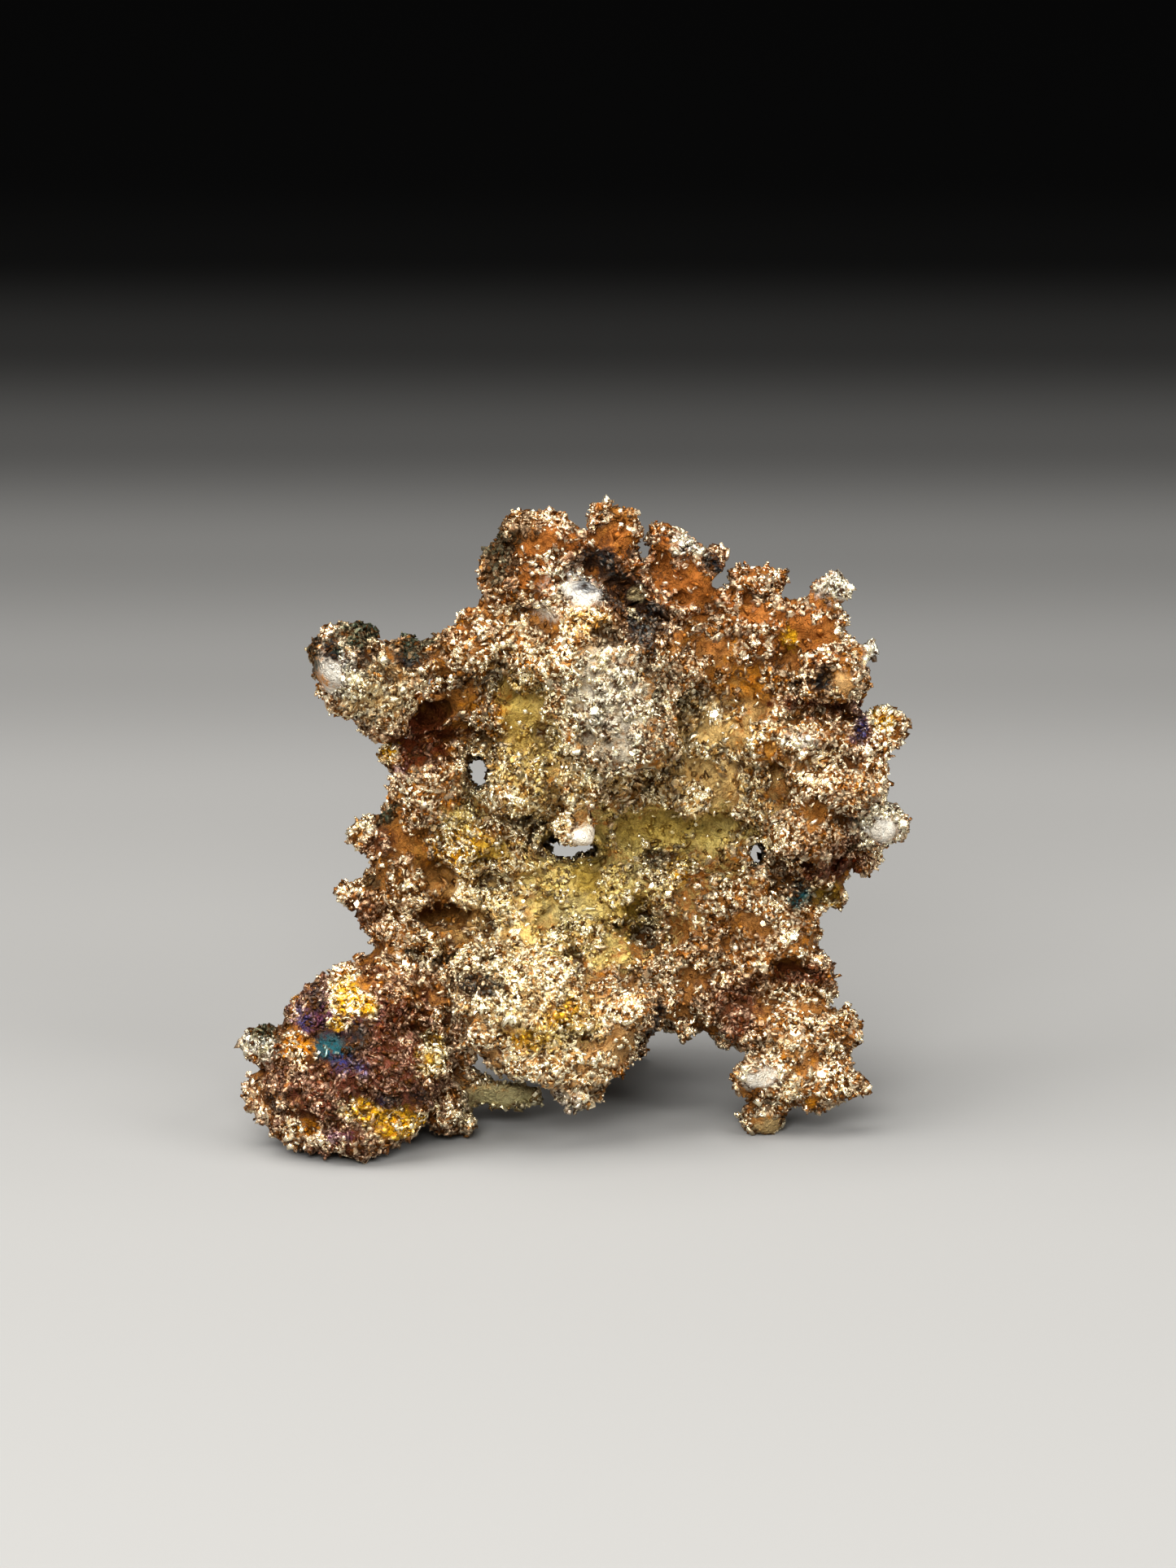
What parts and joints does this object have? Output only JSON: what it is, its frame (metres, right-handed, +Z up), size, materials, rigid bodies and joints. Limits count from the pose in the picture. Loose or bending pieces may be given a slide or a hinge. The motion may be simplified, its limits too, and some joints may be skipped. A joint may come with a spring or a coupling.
{
  "type": "native silver nugget",
  "caption": "Spongy, star-shaped lump of native silver with an open bowl in front, rounded lobes and a rough crystalline skin, standing on three feet.",
  "frame": {"origin": "on the ground, under the middle of the nugget's bounding box", "axes": "+Z up, -Y out of the open bowl, +X to the bowl's right as it is looked into"},
  "size_m": [0.0314, 0.0178, 0.0299],
  "materials": {
    "silver": "rough crystalline native silver, tarnished copper, gold and brown"
  },
  "bodies": {
    "root": {"silver_nugget": "silver"}
  },
  "joints": []
}
